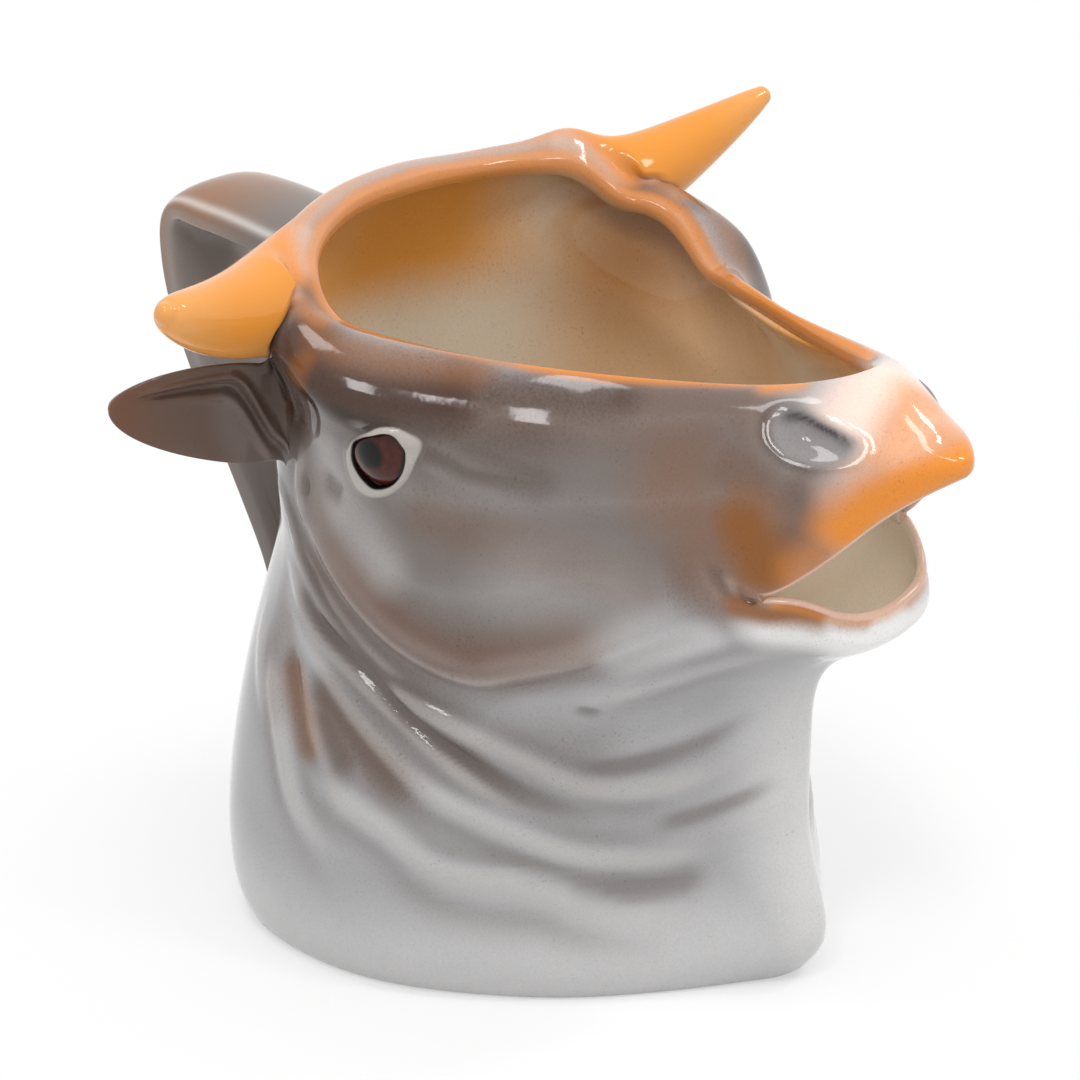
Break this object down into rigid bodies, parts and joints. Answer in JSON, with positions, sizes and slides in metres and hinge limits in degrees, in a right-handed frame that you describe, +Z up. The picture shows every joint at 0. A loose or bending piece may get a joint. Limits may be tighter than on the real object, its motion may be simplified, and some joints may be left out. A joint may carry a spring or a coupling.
{
  "type": "figural cream jug",
  "caption": "Glazed ceramic cream jug shaped as a bull's head: filled through the open top, poured through the open mouth, held by a strap handle behind the poll.",
  "frame": {"origin": "on the table under the middle of the whole jug's box", "axes": "+Z up, the nose points to -Y and the handle to +Y, +X is the animal's left"},
  "size_m": [0.1214, 0.139, 0.1021],
  "materials": {
    "glazed_hide": "glossy airbrushed grey and brown glaze, orange at the rim and lips",
    "glazed_horn": "glossy yellow-orange glaze",
    "glazed_ear": "glossy brown glaze",
    "glazed_handle": "glossy grey glaze with a brown tinge",
    "glazed_eye": "glossy dark enamel"
  },
  "bodies": {
    "root": {"body": "glazed_hide", "left_horn": "glazed_horn", "right_horn": "glazed_horn", "left_ear": "glazed_ear", "right_ear": "glazed_ear", "handle": "glazed_handle", "left_eye": "glazed_eye", "right_eye": "glazed_eye"}
  },
  "joints": []
}
